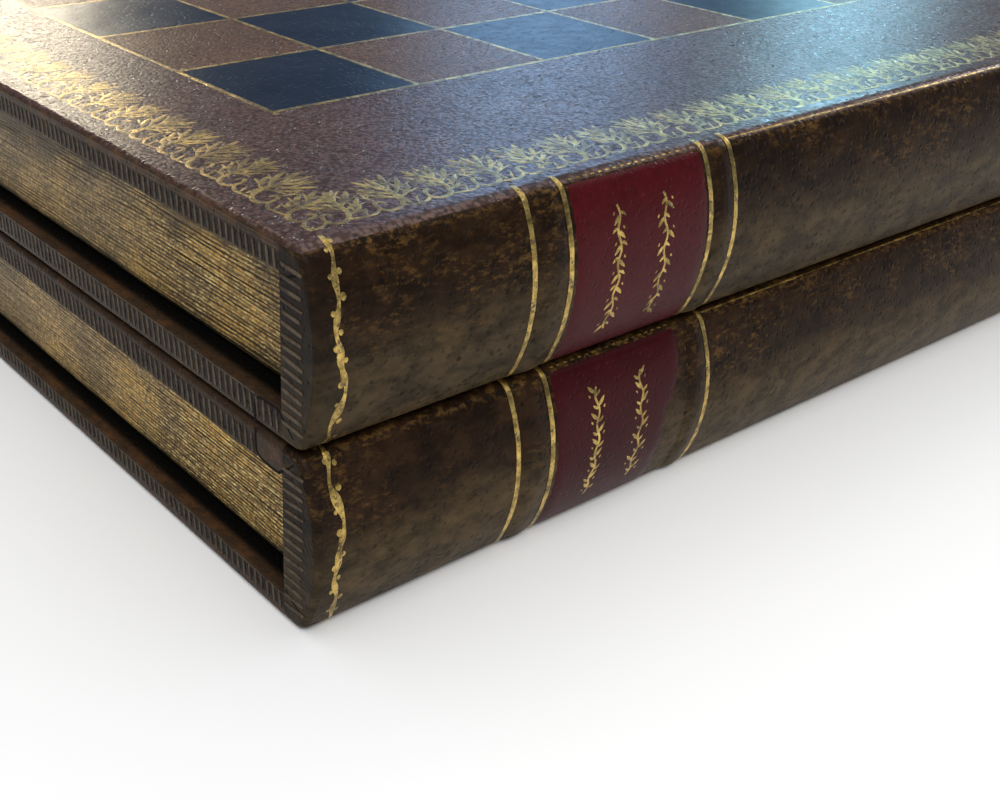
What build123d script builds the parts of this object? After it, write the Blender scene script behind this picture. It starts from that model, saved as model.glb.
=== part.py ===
from build123d import *

import os
from math import sqrt

os.makedirs("parts", exist_ok=True)

# Millimetres. X runs along the spines, -Y is the spine side, +Y the hinge side, +Z is up.
# The board is folded: two book-shaped halves lie on each other, and the origin is the
# centre of their bounding box at the surface they stand on.

# Chess field, half of it on the outer face of each book
square = 40.0
squares_along = 8
squares_across = 4
end_border = 39.0
spine_border = 66.0
onlay_depth = 0.5
line_width = 1.0

# Book shell
book_height = 38.5
book_gap = 0.8
cover_thickness = 6.0
rim_thickness = 6.4
leather = 1.0
arris_radius = 1.5
ledge_radius = 0.6
joint_radius = 0.4

# Spine
spine_thickness = 5.5
spine_bulge = 5.5
spine_corner_radius = 4.0
band_offset = 50.0
outer_band_width = 9.5
label_width = 37.5
inner_band_width = 8.0
band_relief = 0.6
label_relief = 0.3
relief_margin = 3.0

# Page blocks and tray walls
page_recess = 5.5
page_thickness = 3.5
page_edge_radius = 2.5
side_wall = 6.0
spine_wall = 8.4

# Tray linings and the inlaid points of the inner board
floor_lining = 1.0
wall_lining = 0.8
points_per_end = 6
point_length = 150.0
point_spacing = 2.0
point_depth = 0.5

# Butt hinges
hinge_count = 2
hinge_distance = 240.0
hinge_length = 50.0
pivot_offset = 0.4
knuckle_radius = 2.5
knuckle_count = 5
knuckle_clearance = 0.2
pin_radius = 1.1
pin_clearance = 0.05
swing_clearance = 0.3
leaf_thickness = 1.2
leaf_reach = 12.0
leaf_clearance = 0.1
screws_per_leaf = 3
screw_spacing = 17.0
screw_radius = 1.0
screw_head_radius = 2.0
screw_length = 4.6
screw_clearance = 0.05
slot_width = 0.5
slot_depth = 0.4

# Sizes of the whole, worked out from those above
book_length = squares_along * square + 2 * end_border
book_depth = spine_border + squares_across * square
total_height = 2 * book_height + book_gap
total_depth = band_relief + spine_bulge + book_depth + pivot_offset + knuckle_radius
half_length = book_length / 2

# Planes across the books, from the spine side to the hinge side
front_y = -total_depth / 2 + band_relief + spine_bulge
spine_inner_y = front_y + spine_thickness
back_y = front_y + book_depth
pivot_y = back_y + pivot_offset
rail_width = page_recess + page_thickness + side_wall
tray_front_y = spine_inner_y + spine_wall
tray_back_y = back_y - rail_width
tray_half_length = half_length - rail_width
page_face_x = half_length - page_recess
page_face_y = back_y - page_recess

# Levels of the lower book, counted from its outer face
rail_bottom = book_height - rim_thickness
rail_top = book_height - leather
lining_top = cover_thickness + floor_lining
fold_level = total_height / 2
fold_plane = Plane.XY.offset(fold_level)

# Circle of the spine's rounded back
spine_rise = book_height / 2
spine_radius = (spine_rise**2 + spine_bulge**2) / (2 * spine_bulge)
spine_centre_y = front_y - spine_bulge + spine_radius

# Hinge places
knuckle_pitch = hinge_length / knuckle_count
leaf_level = book_height - leaf_thickness
leaf_back_y = back_y - leaf_reach
screw_y = back_y - (leaf_reach + knuckle_radius) / 2
hinge_places = [(index - (hinge_count - 1) / 2) * hinge_distance for index in range(hinge_count)]
screw_steps = [(index - (screws_per_leaf - 1) / 2) * screw_spacing for index in range(screws_per_leaf)]
screw_places = [(place + step, screw_y) for place in hinge_places for step in screw_steps]

books = ["lower", "upper"]


def add_block(x_span, y_span, z_span, mode=Mode.ADD):
    """Adds a block between three pairs of planes to the sub-part being built, or cuts it."""
    with BuildSketch(Plane.XY.offset(z_span[0])) as outline:
        with Locations((sum(x_span) / 2, sum(y_span) / 2)):
            Rectangle(x_span[1] - x_span[0], y_span[1] - y_span[0])
    extrude(outline.sketch, amount=z_span[1] - z_span[0], mode=mode)


def add_rod(x_centre, length, radius, mode=Mode.ADD):
    """Adds or cuts a round bar on the hinge axis."""
    with BuildSketch(Plane.YZ.offset(x_centre - length / 2)) as section:
        with Locations((pivot_y, fold_level)):
            Circle(radius)
    extrude(section.sketch, amount=length, mode=mode)


def add_slab(y_span, levels, radii):
    """Adds a board of the book's length, its arrises at both ends rounded below and above."""
    with BuildSketch(Plane.XZ.offset(-y_span[0])) as section:
        with Locations((0, sum(levels) / 2)):
            Rectangle(book_length, levels[1] - levels[0])
        fillet(vertices().group_by(Axis.Y)[0], radii[0])
        fillet(vertices().group_by(Axis.Y)[-1], radii[1])
    extrude(section.sketch, amount=y_span[0] - y_span[1])


def round_back(y_front, levels, radii):
    """Rounds the hinge-side arrises of a board, below and above."""
    with BuildSketch(Plane.YZ.offset(-half_length)) as section:
        with Locations(((y_front + back_y) / 2, sum(levels) / 2)):
            Rectangle(back_y - y_front, levels[1] - levels[0])
        fillet(vertices().group_by(Axis.X)[-1].sort_by(Axis.Y)[0], radii[0])
        fillet(vertices().group_by(Axis.X)[-1].sort_by(Axis.Y)[-1], radii[1])
    extrude(section.sketch, amount=book_length, mode=Mode.INTERSECT)


def spine_section(inset):
    """The spine's section, seen along X, with its outer faces moved in by the inset."""
    radius = spine_radius - inset
    rise = spine_rise - inset
    corner_y = spine_centre_y - sqrt(radius**2 - rise**2)
    low = spine_rise - rise
    high = spine_rise + rise
    with BuildSketch(Plane.YZ) as section:
        with BuildLine():
            Polyline((corner_y, low), (spine_inner_y, low), (spine_inner_y, high), (corner_y, high))
            ThreePointArc((corner_y, high), (spine_centre_y - radius, spine_rise), (corner_y, low))
        make_face()
        fillet(vertices().group_by(Axis.X)[0], spine_corner_radius - inset)
    return section.sketch


def add_spine(x_start, x_end, inset, mode=Mode.ADD):
    """Adds or cuts a length of the spine's section."""
    section = Pos(x_start, 0, 0) * spine_section(inset)
    extrude(section, amount=x_end - x_start, dir=(1, 0, 0), mode=mode)


def fold_over(book):
    """Moves a sub-part built for the lower book into the upper one, which is its mirror image."""
    if book == "upper":
        mirror(about=fold_plane, mode=Mode.REPLACE)


def keep(piece, name):
    piece.part.label = name
    export_step(piece.part, f"parts/{name}.step")


def dark_square_places(book):
    """Centres of the dark squares. The books differ by one step, so the unfolded board alternates."""
    step = books.index(book) + 1
    places = []
    for column in range(squares_along):
        for row in range(squares_across):
            if (column + row + step) % 2 == 0:
                x = (column + 0.5) * square - half_length + end_border
                y = front_y + spine_border + (row + 0.5) * square
                places.append((x, y))
    return places


def add_squares(book, mode=Mode.ADD):
    with BuildSketch(Plane.XY) as field:
        with Locations(*dark_square_places(book)):
            Rectangle(square - line_width, square - line_width)
    extrude(field.sketch, amount=onlay_depth, mode=mode)


def cover_board(book):
    with BuildPart() as board:
        x_edge = half_length - leather
        add_block((-x_edge, x_edge), (spine_inner_y, back_y - leather), (leather, cover_thickness))
        fold_over(book)
    keep(board, f"{book}_cover_board")


def cover_leather(book):
    with BuildPart() as skin:
        levels = (0, cover_thickness)
        add_slab((spine_inner_y, back_y), levels, (arris_radius, ledge_radius))
        round_back(spine_inner_y, levels, (joint_radius, ledge_radius))
        x_edge = half_length - leather
        inside = (leather, cover_thickness)
        add_block((-x_edge, x_edge), (spine_inner_y, back_y - leather), inside, Mode.SUBTRACT)
        add_squares(book, Mode.SUBTRACT)
        fold_over(book)
    keep(skin, f"{book}_cover_leather")


def dark_squares(book):
    with BuildPart() as onlays:
        add_squares(book)
        fold_over(book)
    keep(onlays, f"{book}_dark_squares")


def spine_board(book):
    with BuildPart() as board:
        add_spine(leather - half_length, half_length - leather, leather)
        fold_over(book)
    keep(board, f"{book}_spine_board")


def spine_leather(book):
    with BuildPart() as skin:
        add_spine(-half_length, half_length, 0)
        for end in (0, -1):
            rim = skin.faces().sort_by(Axis.X)[end].edges()
            fillet(rim.sort_by(Axis.Y)[:-1], arris_radius)
        add_spine(leather - half_length, half_length - leather, leather, Mode.SUBTRACT)
        fold_over(book)
    keep(skin, f"{book}_spine_leather")


def add_relief(start, width, relief):
    """Adds a strip across the spine's back, proud of its leather by the relief."""
    x_start = start - half_length
    add_spine(x_start, x_start + width, -relief)
    add_spine(x_start, x_start + width, 0, Mode.SUBTRACT)


def trim_relief():
    """Ends the strips short of the spine's rounded top and bottom edges."""
    reach = (-book_length, book_length)
    depth = (front_y - book_depth, back_y)
    add_block(reach, depth, (relief_margin, book_height - relief_margin), Mode.INTERSECT)


def spine_bands(book):
    with BuildPart() as bands:
        inner_offset = band_offset + outer_band_width + label_width
        for start, width in ((band_offset, outer_band_width), (inner_offset, inner_band_width)):
            add_relief(start, width, band_relief)
            add_relief(book_length - start - width, width, band_relief)
        trim_relief()
        fold_over(book)
    keep(bands, f"{book}_spine_bands")


def spine_label(book):
    with BuildPart() as label:
        add_relief(band_offset + outer_band_width, label_width, label_relief)
        trim_relief()
        fold_over(book)
    keep(label, f"{book}_spine_label")


def end_wall(book, side):
    """A tray wall and its page facing at one end of the book: side is -1 at the left, 1 at the right."""
    name = "left" if side < 0 else "right"
    levels = (cover_thickness, rail_bottom)
    wall_faces = sorted((side * tray_half_length, side * (tray_half_length + side_wall)))
    with BuildPart() as wall:
        add_block(wall_faces, (spine_inner_y, tray_back_y + side_wall), levels)
        fold_over(book)
    keep(wall, f"{book}_{name}_wall")
    page_faces = sorted((side * (page_face_x - page_thickness), side * page_face_x))
    with BuildPart() as pages:
        add_block(page_faces, (spine_inner_y, page_face_y), levels)
        outer = edges().filter_by(Axis.Y).group_by(Axis.X)[0 if side < 0 else -1]
        fillet(outer, page_edge_radius)
        fold_over(book)
    keep(pages, f"{book}_{name}_pages")


def hinge_wall(book):
    levels = (cover_thickness, rail_bottom)
    with BuildPart() as wall:
        reach = (-tray_half_length, tray_half_length)
        add_block(reach, (tray_back_y, tray_back_y + side_wall), levels)
        fold_over(book)
    keep(wall, f"{book}_hinge_wall")
    with BuildPart() as pages:
        page_end = page_face_x - page_thickness
        add_block((-page_end, page_end), (page_face_y - page_thickness, page_face_y), levels)
        fillet(edges().filter_by(Axis.X).group_by(Axis.Y)[-1], page_edge_radius)
        fold_over(book)
    keep(pages, f"{book}_fore_edge_pages")


def spine_side_wall(book):
    with BuildPart() as wall:
        reach = (-tray_half_length, tray_half_length)
        add_block(reach, (spine_inner_y, tray_front_y), (cover_thickness, rail_bottom))
        fold_over(book)
    keep(wall, f"{book}_spine_wall")


def cut_hinge_seats():
    """Cuts the seats of the leaves and the hollows that the knuckles turn in."""
    for place in hinge_places:
        half_seat = hinge_length / 2 + leaf_clearance
        reach = (place - half_seat, place + half_seat)
        seat = (leaf_back_y - leaf_clearance, back_y)
        add_block(reach, seat, (leaf_level, book_height), Mode.SUBTRACT)
        add_rod(place, 2 * half_seat, knuckle_radius + swing_clearance, Mode.SUBTRACT)


def rim_rails(book):
    """The four wooden rails of the rim. The end rails run from the spine rail to the back."""
    levels = (rail_bottom, rail_top)
    outer_x = half_length - leather
    with BuildPart() as spine_rail:
        add_block((-outer_x, outer_x), (spine_inner_y, tray_front_y), levels)
        fold_over(book)
    keep(spine_rail, f"{book}_spine_rail")
    for side, name in ((-1, "left"), (1, "right")):
        with BuildPart() as end_rail:
            reach = sorted((side * tray_half_length, side * outer_x))
            add_block(reach, (tray_front_y, back_y - leather), levels)
            fold_over(book)
        keep(end_rail, f"{book}_{name}_rail")
    with BuildPart() as hinge_rail:
        reach = (-tray_half_length, tray_half_length)
        add_block(reach, (tray_back_y, back_y - leather), levels)
        cut_hinge_seats()
        with Locations(*[(x, y, leaf_level) for x, y in screw_places]):
            Hole(screw_radius + screw_clearance, screw_length)
        fold_over(book)
    keep(hinge_rail, f"{book}_hinge_rail")


def rim_leather(book):
    """The rim's skins: one over the spine rail, and one round the other three."""
    x_edge = half_length - leather
    levels = (rail_bottom, book_height)
    rail_levels = (rail_bottom, rail_top)
    with BuildPart() as front_skin:
        add_slab((spine_inner_y, tray_front_y), levels, (ledge_radius, arris_radius))
        add_block((-x_edge, x_edge), (spine_inner_y, tray_front_y), rail_levels, Mode.SUBTRACT)
        fold_over(book)
    keep(front_skin, f"{book}_rim_leather_front")
    with BuildPart() as skin:
        add_slab((tray_front_y, back_y), levels, (ledge_radius, arris_radius))
        round_back(tray_front_y, levels, (ledge_radius, joint_radius))
        add_block((-x_edge, x_edge), (tray_front_y, back_y - leather), rail_levels, Mode.SUBTRACT)
        tray = (-tray_half_length, tray_half_length)
        add_block(tray, (tray_front_y, tray_back_y), levels, Mode.SUBTRACT)
        cut_hinge_seats()
        fold_over(book)
    keep(skin, f"{book}_rim_leather")


def point_outlines(book, colour):
    """Triangles of one colour at both ends of the tray, seen from above."""
    base_x = tray_half_length - wall_lining
    low_y = tray_front_y + wall_lining
    pitch = (tray_back_y - wall_lining - low_y) / points_per_end
    half_base = (pitch - point_spacing) / 2
    start = (books.index(book) + ["light", "dark"].index(colour)) % 2
    with BuildSketch(Plane.XY.offset(lining_top - point_depth)) as outlines:
        for side in (-1, 1):
            for index in range(points_per_end):
                if (index + start + (side > 0)) % 2 == 0:
                    y = low_y + (index + 0.5) * pitch
                    tip = (side * (base_x - point_length), y)
                    base = [(side * base_x, y - half_base), (side * base_x, y + half_base)]
                    with BuildLine():
                        Polyline(*base, tip, close=True)
                    make_face()
    return outlines.sketch


def tray_linings(book):
    with BuildPart() as field:
        reach = (-tray_half_length, tray_half_length)
        add_block(reach, (tray_front_y, tray_back_y), (cover_thickness, lining_top))
        for colour in ("light", "dark"):
            extrude(point_outlines(book, colour), amount=point_depth, mode=Mode.SUBTRACT)
        fold_over(book)
    keep(field, f"{book}_floor_lining")
    with BuildPart() as lining:
        add_block(reach, (tray_front_y, tray_back_y), (lining_top, book_height))
        inner_x = tray_half_length - wall_lining
        inner = (tray_front_y + wall_lining, tray_back_y - wall_lining)
        add_block((-inner_x, inner_x), inner, (lining_top, book_height), Mode.SUBTRACT)
        fold_over(book)
    keep(lining, f"{book}_wall_lining")


def inlaid_points(book):
    for colour in ("light", "dark"):
        with BuildPart() as points:
            extrude(point_outlines(book, colour), amount=point_depth)
            fold_over(book)
        keep(points, f"{book}_{colour}_points")


def hinge_leaves(book):
    """One book's leaves. The lower book has the first, third and fifth knuckle, the upper the rest."""
    knuckle_length = knuckle_pitch - knuckle_clearance
    with BuildPart() as leaves:
        for place in hinge_places:
            half_leaf = (hinge_length - knuckle_clearance) / 2
            reach = (place - half_leaf, place + half_leaf)
            add_block(reach, (leaf_back_y, pivot_y), (leaf_level, book_height))
            for index in range(knuckle_count):
                x = place + (index - (knuckle_count - 1) / 2) * knuckle_pitch
                if index % 2 == books.index(book):
                    add_rod(x, knuckle_length, knuckle_radius)
                else:
                    free_length = knuckle_pitch + knuckle_clearance
                    add_rod(x, free_length, knuckle_radius + swing_clearance, Mode.SUBTRACT)
            add_rod(place, hinge_length, pin_radius + pin_clearance, Mode.SUBTRACT)
        hole_radius = screw_radius + screw_clearance
        sink_radius = screw_head_radius + screw_clearance
        with Locations(*[(x, y, book_height) for x, y in screw_places]):
            CounterSinkHole(hole_radius, sink_radius, counter_sink_angle=90)
        fold_over(book)
    keep(leaves, f"{book}_hinge_leaves")


def hinge_screws(book):
    """Countersunk screws with a slot, their heads flush with the leaves."""
    cone_depth = screw_head_radius - screw_radius
    with BuildPart() as screws:
        for x, y in screw_places:
            head_plane = Plane((x, y, book_height - cone_depth / 2))
            shank_plane = Plane((x, y, book_height - screw_length / 2))
            with Locations(head_plane):
                Cone(screw_radius, screw_head_radius, cone_depth)
            with Locations(shank_plane):
                Cylinder(screw_radius, screw_length)
            reach = (x - screw_head_radius, x + screw_head_radius)
            side = (y - slot_width / 2, y + slot_width / 2)
            add_block(reach, side, (book_height - slot_depth, book_height), Mode.SUBTRACT)
        fold_over(book)
    keep(screws, f"{book}_hinge_screws")


def hinge_pins():
    with BuildPart() as pins:
        for place in hinge_places:
            add_rod(place, hinge_length - knuckle_clearance, pin_radius)
    keep(pins, "hinge_pins")


for book in books:
    cover_board(book)
    cover_leather(book)
    dark_squares(book)
    spine_board(book)
    spine_leather(book)
    spine_bands(book)
    spine_label(book)
    end_wall(book, -1)
    end_wall(book, 1)
    hinge_wall(book)
    spine_side_wall(book)
    rim_rails(book)
    rim_leather(book)
    tray_linings(book)
    inlaid_points(book)
    hinge_leaves(book)
    hinge_screws(book)
hinge_pins()
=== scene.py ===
"""Finishes the folding chess board: two leather books with gilt tooling, built round its fixed parts."""

import math

import bmesh
import bpy
from mathutils import Matrix, Vector, noise


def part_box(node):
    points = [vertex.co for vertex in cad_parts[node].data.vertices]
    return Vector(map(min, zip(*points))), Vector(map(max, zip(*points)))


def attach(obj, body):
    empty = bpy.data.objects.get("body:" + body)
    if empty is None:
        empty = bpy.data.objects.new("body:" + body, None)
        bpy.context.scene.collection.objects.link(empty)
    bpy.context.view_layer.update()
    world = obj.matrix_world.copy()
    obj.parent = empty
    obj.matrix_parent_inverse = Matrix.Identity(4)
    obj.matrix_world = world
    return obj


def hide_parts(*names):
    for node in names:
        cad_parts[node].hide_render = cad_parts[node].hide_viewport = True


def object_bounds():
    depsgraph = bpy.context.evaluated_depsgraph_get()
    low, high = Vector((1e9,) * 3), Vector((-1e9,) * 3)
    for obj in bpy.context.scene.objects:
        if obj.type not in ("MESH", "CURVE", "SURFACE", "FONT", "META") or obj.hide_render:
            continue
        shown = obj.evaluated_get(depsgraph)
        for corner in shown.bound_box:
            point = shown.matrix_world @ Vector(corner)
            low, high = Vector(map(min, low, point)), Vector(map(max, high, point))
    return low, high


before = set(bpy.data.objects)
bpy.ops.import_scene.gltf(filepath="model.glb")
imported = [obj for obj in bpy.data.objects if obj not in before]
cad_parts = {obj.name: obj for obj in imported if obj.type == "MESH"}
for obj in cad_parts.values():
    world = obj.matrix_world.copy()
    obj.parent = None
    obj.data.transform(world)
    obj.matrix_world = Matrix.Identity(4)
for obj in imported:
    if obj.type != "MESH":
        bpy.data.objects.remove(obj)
cad_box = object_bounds()

bl_info = {
    "name": "Folding Chess Board",
    "version": (1, 0, 0),
    "blender": (4, 5, 0),
    "location": "View3D > Sidebar > Chess Board",
    "description": "Leather, gilt tooling and page edges of a chess board that folds into two books",
    "category": "Object",
}

MM = 0.001
BOOKS = ("lower", "upper")

# Places of the lower book, read from its fixed parts; the upper one mirrors them.
cover_low, cover_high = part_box("lower_cover_leather")
rim_low, rim_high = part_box("lower_rim_leather")
squares_low, squares_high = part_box("lower_dark_squares")
spine_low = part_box("lower_spine_leather")[0]

HALF_LENGTH = cover_high.x
BACK = cover_high.y
SPINE_SEAM = cover_low.y
LEDGE = cover_high.z
RIM_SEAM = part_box("lower_rim_leather_front")[1].y
RIM_LEDGE = rim_low.z
BOOK_HEIGHT = rim_high.z
TOP = cad_box[1].z
FOLD = TOP / 2
LEFT_END = -HALF_LENGTH

# The gold stops this far short of the hinge side, and the covers' flat faces end along this line.
BACK_GAP = 0.6 * MM
ARRIS_LINE = -111.4 * MM

# Places along the spine, in millimetres from the left end; all but the label are at the right end too.
BOOK_LENGTH = 398
LABEL = (59.6, 97.2)
BANDS = ((49.6, 57.4), (99.2, 105.2))
FILLETS = (48.9, 58.4, 98.2, 106.0)
LOST_FILLET = 98.2

# Length of one figure of the border roll as it is drawn below, in millimetres.
ROLL_FIGURE = 22.2

# The spine's rounded back: a wide arc with small rounded corners above and below.
SPINE_MIDDLE = BOOK_HEIGHT / 2
SPINE_BULGE = 5.5 * MM
CORNER_RADIUS = 4 * MM
ARC_RADIUS = (SPINE_MIDDLE**2 + SPINE_BULGE**2) / (2 * SPINE_BULGE)
ARC_CENTRE = spine_low.y + ARC_RADIUS
CORNER_ANGLE = math.asin((SPINE_MIDDLE - CORNER_RADIUS) / (ARC_RADIUS - CORNER_RADIUS))
CORNER_CENTRE = ARC_CENTRE - (ARC_RADIUS - CORNER_RADIUS) * math.cos(CORNER_ANGLE)
ARC_REACH = ARC_RADIUS * CORNER_ANGLE
CORNER_REACH = ARC_REACH + CORNER_RADIUS * (math.pi / 2 - CORNER_ANGLE)


def screen_colour(red, green, blue):
    """Linear values of a colour that is written as it looks on a screen, 0 to 255."""
    shares = [level / 255 for level in (red, green, blue)]
    return tuple(s / 12.92 if s <= 0.04045 else ((s + 0.055) / 1.055) ** 2.4 for s in shares)


def colour_setting(name, description, *levels):
    """A colour that the user can change."""
    return bpy.props.FloatVectorProperty(
        name=name,
        description=description,
        default=screen_colour(*levels),
        subtype="COLOR",
        min=0,
        max=1,
    )


def length_setting(name, description, millimetres):
    """A length that the user can change."""
    return bpy.props.FloatProperty(
        name=name,
        description=description,
        default=millimetres * MM,
        subtype="DISTANCE",
        unit="LENGTH",
        min=0,
        precision=5,
    )


def light_setting(name, description, default, unit="NONE"):
    """The strength of a light that the user can change."""
    return bpy.props.FloatProperty(name=name, description=description, default=default, min=0, unit=unit)


class ChessBoardColours(bpy.types.PropertyGroup):
    """Colours of the leathers, the gold and the page edges."""

    cover: colour_setting("Cover", "Brown leather of the outer faces", 74, 50, 41)
    field: colour_setting("Light squares", "Leather of the light squares", 92, 68, 52)
    squares: colour_setting("Dark squares", "Black leather of the inlaid squares", 17, 29, 47)
    spine: colour_setting("Spine", "Dark stain of the spines", 33, 21, 11)
    # Painted reflection: the pale floor's reflection that makes each spine greyer low down.
    spine_foot_reflection: colour_setting("Spine foot", "Greyer brown low on each spine", 62, 50, 33)
    # Amber is also the colour of painted glints along the spines' arrises.
    amber: colour_setting("Amber", "Flecks where the spine's stain is rubbed", 104, 76, 38)
    edge: colour_setting("Edges", "Leather that is turned over the edges", 54, 41, 30)
    edge_worn: colour_setting("Worn edges", "Brown of the rubbed ledges and arrises", 88, 59, 37)
    # The ridge colour also makes the painted glint lines near the arrises of the book's ends.
    ridge: colour_setting("Ridges", "Rubbed tops of the hatched ridges", 84, 72, 56)
    # Painted shade: black at the foot of the pages, on the inner ledges and in the leather's pores and
    # creases; also the dark of seams and pits.
    shade_and_soot: colour_setting("Ledge shadow", "Black stain at the foot of the pages", 12, 11, 10)
    label: colour_setting("Labels", "Crimson leather of the spine labels", 66, 12, 16)
    gold: colour_setting("Gold", "Gold leaf of the tooling", 208, 176, 100)
    # Painted glints: bright specks of painted highlight on the page edges, most near the spine.
    glints: colour_setting("Glints", "Bright gold that is left in the page edges", 252, 226, 150)
    pages: colour_setting("Pages", "Gilding of the page edges", 194, 154, 84)
    pages_dull: colour_setting("Rubbed pages", "Page edges where the gilding is rubbed", 152, 128, 90)
    pages_dark: colour_setting("Page grooves", "Antiquing in the page edges", 44, 32, 21)
    lining: colour_setting("Lining", "Green leather of the trays", 36, 58, 46)
    light_points: colour_setting("Light points", "Cream leather of the inner board", 196, 172, 132)
    dark_points: colour_setting("Dark points", "Red leather of the inner board", 110, 26, 26)
    brass: colour_setting("Brass", "Hinge leaves and screws", 208, 172, 96)
    steel: colour_setting("Steel", "Hinge pins", 170, 170, 172)
    wood: colour_setting("Wood", "Boards under the leather", 120, 84, 52)


class ChessBoardTooling(bpy.types.PropertyGroup):
    """Sizes of the gilt and blind tooling."""

    line_width: length_setting("Line", "Width of the gold lines round the squares", 1.25)
    front_margin: length_setting("Front margin", "From the spine side to the border roll", 5.3)
    end_margin: length_setting("End margin", "From the ends to the border roll", 6.3)
    roll_repeat: length_setting("Roll repeat", "Length of one figure of the border roll", ROLL_FIGURE)
    fillet_width: length_setting("Fillet", "Width of the gold lines across the spine", 1.2)
    hatch_pitch: length_setting("Hatch pitch", "From ridge to ridge on the edges", 2.1)
    strip_pitch: length_setting("Strip pitch", "From ridge to ridge on the spine's ends", 2.1)
    page_pitch: length_setting("Page pitch", "From groove to groove in the page edges", 0.85)


class ChessBoardStage(bpy.types.PropertyGroup):
    """Light and floor round the object."""

    ceiling: light_setting("Ceiling", "Brightness of the bright ceiling", 1.25)
    walls: light_setting("Walls", "Brightness of the room between floor and ceiling", 0.1)
    front: light_setting("Front lamp", "Power of the large lamp in front", 16, "POWER")
    window: light_setting("Window lamp", "Power of the cool lamp behind", 3.6, "POWER")
    lantern: light_setting("Warm lamp", "Power of the warm lamp behind", 6.8, "POWER")
    low_window: light_setting("Low window", "Power of the cool lamp to the right", 3.4, "POWER")
    side: light_setting("Side lamp", "Power of the lamp that lights the arrises", 6.5, "POWER")


class Wire:
    """One output of a shader node. Sums, differences, products and remainders add Math nodes."""

    def __init__(self, finish, socket):
        self.finish = finish
        self.socket = socket

    def math(self, operation, first, second=0.0):
        return self.finish.add("ShaderNodeMath", {"operation": operation}, {0: first, 1: second})

    def __add__(self, other):
        return self.math("ADD", self, other)

    __radd__ = __add__

    def __sub__(self, other):
        return self.math("SUBTRACT", self, other)

    def __rsub__(self, other):
        return self.math("SUBTRACT", other, self)

    def __mul__(self, other):
        return self.math("MULTIPLY", self, other)

    __rmul__ = __mul__

    def __mod__(self, other):
        return self.math("MODULO", self, other)

    def __abs__(self):
        return self.math("ABSOLUTE", self)

    def least(self, other):
        return self.math("MINIMUM", self, other)

    def most(self, other):
        return self.math("MAXIMUM", self, other)


class Finish:
    """A procedural material, or the world's shader, in the coordinates of the whole object."""

    def __init__(self, block):
        block.use_nodes = True
        self.block = block
        self.tree = block.node_tree
        self.tree.nodes.clear()
        self.place = self.add("ShaderNodeTexCoord", output="Object")
        self.x, self.y, self.z = self.parts(self.place)

    def add(self, kind, settings=None, values=None, output=0):
        """Adds a node, sets it up, then gives its sockets their values or links."""
        node = self.tree.nodes.new(kind)
        for name, value in (settings or {}).items():
            if name == "stops":
                ramp = node.color_ramp
                while len(ramp.elements) < len(value):
                    ramp.elements.new(0.5)
                for element, (place, colour) in zip(ramp.elements, value):
                    element.position = place
                    element.color = (*colour, 1)
            else:
                setattr(node, name, value)
        for key, value in (values or {}).items():
            socket = self.socket(node.inputs, key)
            if isinstance(value, Wire):
                self.tree.links.new(value.socket, socket)
            elif socket.type == "RGBA" and len(value) == 3:
                socket.default_value = (*value, 1)
            else:
                socket.default_value = value
        return Wire(self, self.socket(node.outputs, output)) if node.outputs else node

    def socket(self, sockets, key):
        """A node's socket, by its number, its identifier or its name."""
        if isinstance(key, int):
            return sockets[key]
        named = [socket for socket in sockets if socket.identifier == key]
        return named[0] if named else sockets[key]

    def parts(self, vector):
        split = self.add("ShaderNodeSeparateXYZ", values={"Vector": vector})
        outputs = split.socket.node.outputs
        return [Wire(self, output) for output in outputs]

    def stretched(self, x, y, z):
        """The place in the whole object, scaled along each axis."""
        return self.add("ShaderNodeMapping", values={"Vector": self.place, "Scale": (x, y, z)})

    def cloud(self, scale, detail=4.0, roughness=0.55, place=None):
        """Noise from 0 to 1, mostly near the middle."""
        values = {"Vector": place or self.place, "Scale": scale, "Detail": detail, "Roughness": roughness}
        return self.add("ShaderNodeTexNoise", values=values)

    def cells(self, scale, place=None):
        """The way to the middle of the nearest of many cells."""
        values = {"Vector": place or self.place, "Scale": scale}
        return self.add("ShaderNodeTexVoronoi", {"feature": "F1"}, values, "Distance")

    def rise(self, value, low, high):
        """0 below low, 1 above high, and smooth between them."""
        settings = {"interpolation_type": "SMOOTHSTEP"}
        values = {"Value": value, "From Min": low, "From Max": high}
        return self.add("ShaderNodeMapRange", settings, values)

    def span(self, value, low, high):
        """A value from 0 to 1 moved to between low and high."""
        return value * (high - low) + low

    def mix(self, share, first, second):
        values = {"Factor_Float": share, "A_Color": first, "B_Color": second}
        return self.add("ShaderNodeMix", {"data_type": "RGBA"}, values, "Result_Color")

    def lit(self, share, colour, dark=0.6, light=1.4):
        """A colour made darker and lighter by a value from 0 to 1."""
        settings = {"operation": "SCALE"}
        values = {0: colour, "Scale": self.span(share, dark, light)}
        return self.add("ShaderNodeVectorMath", settings, values)

    def bump(self, height, depth, strength=1.0, normal=None):
        values = {"Height": height, "Distance": depth, "Strength": strength}
        if normal:
            values["Normal"] = normal
        return self.add("ShaderNodeBump", values=values)

    def close(self, colour, roughness, normal, metallic=0.0, gloss=0.5, polish=None):
        """The shader itself. Where polish rises from 0 to 1, the surface takes on a wax shine."""
        values = {"Base Color": colour, "Roughness": roughness, "Metallic": metallic, "Normal": normal}
        shader = self.add("ShaderNodeBsdfPrincipled", values={**values, "Specular IOR Level": gloss})
        if polish:
            waxed = self.add("ShaderNodeBsdfPrincipled", values={**values, "Specular IOR Level": 0.6})
            shader = self.add("ShaderNodeMixShader", values={0: polish, 1: shader, 2: waxed})
        self.add("ShaderNodeOutputMaterial", values={"Surface": shader})
        return self.block


def start_finish(name):
    return Finish(bpy.data.materials.new(name))


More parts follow.
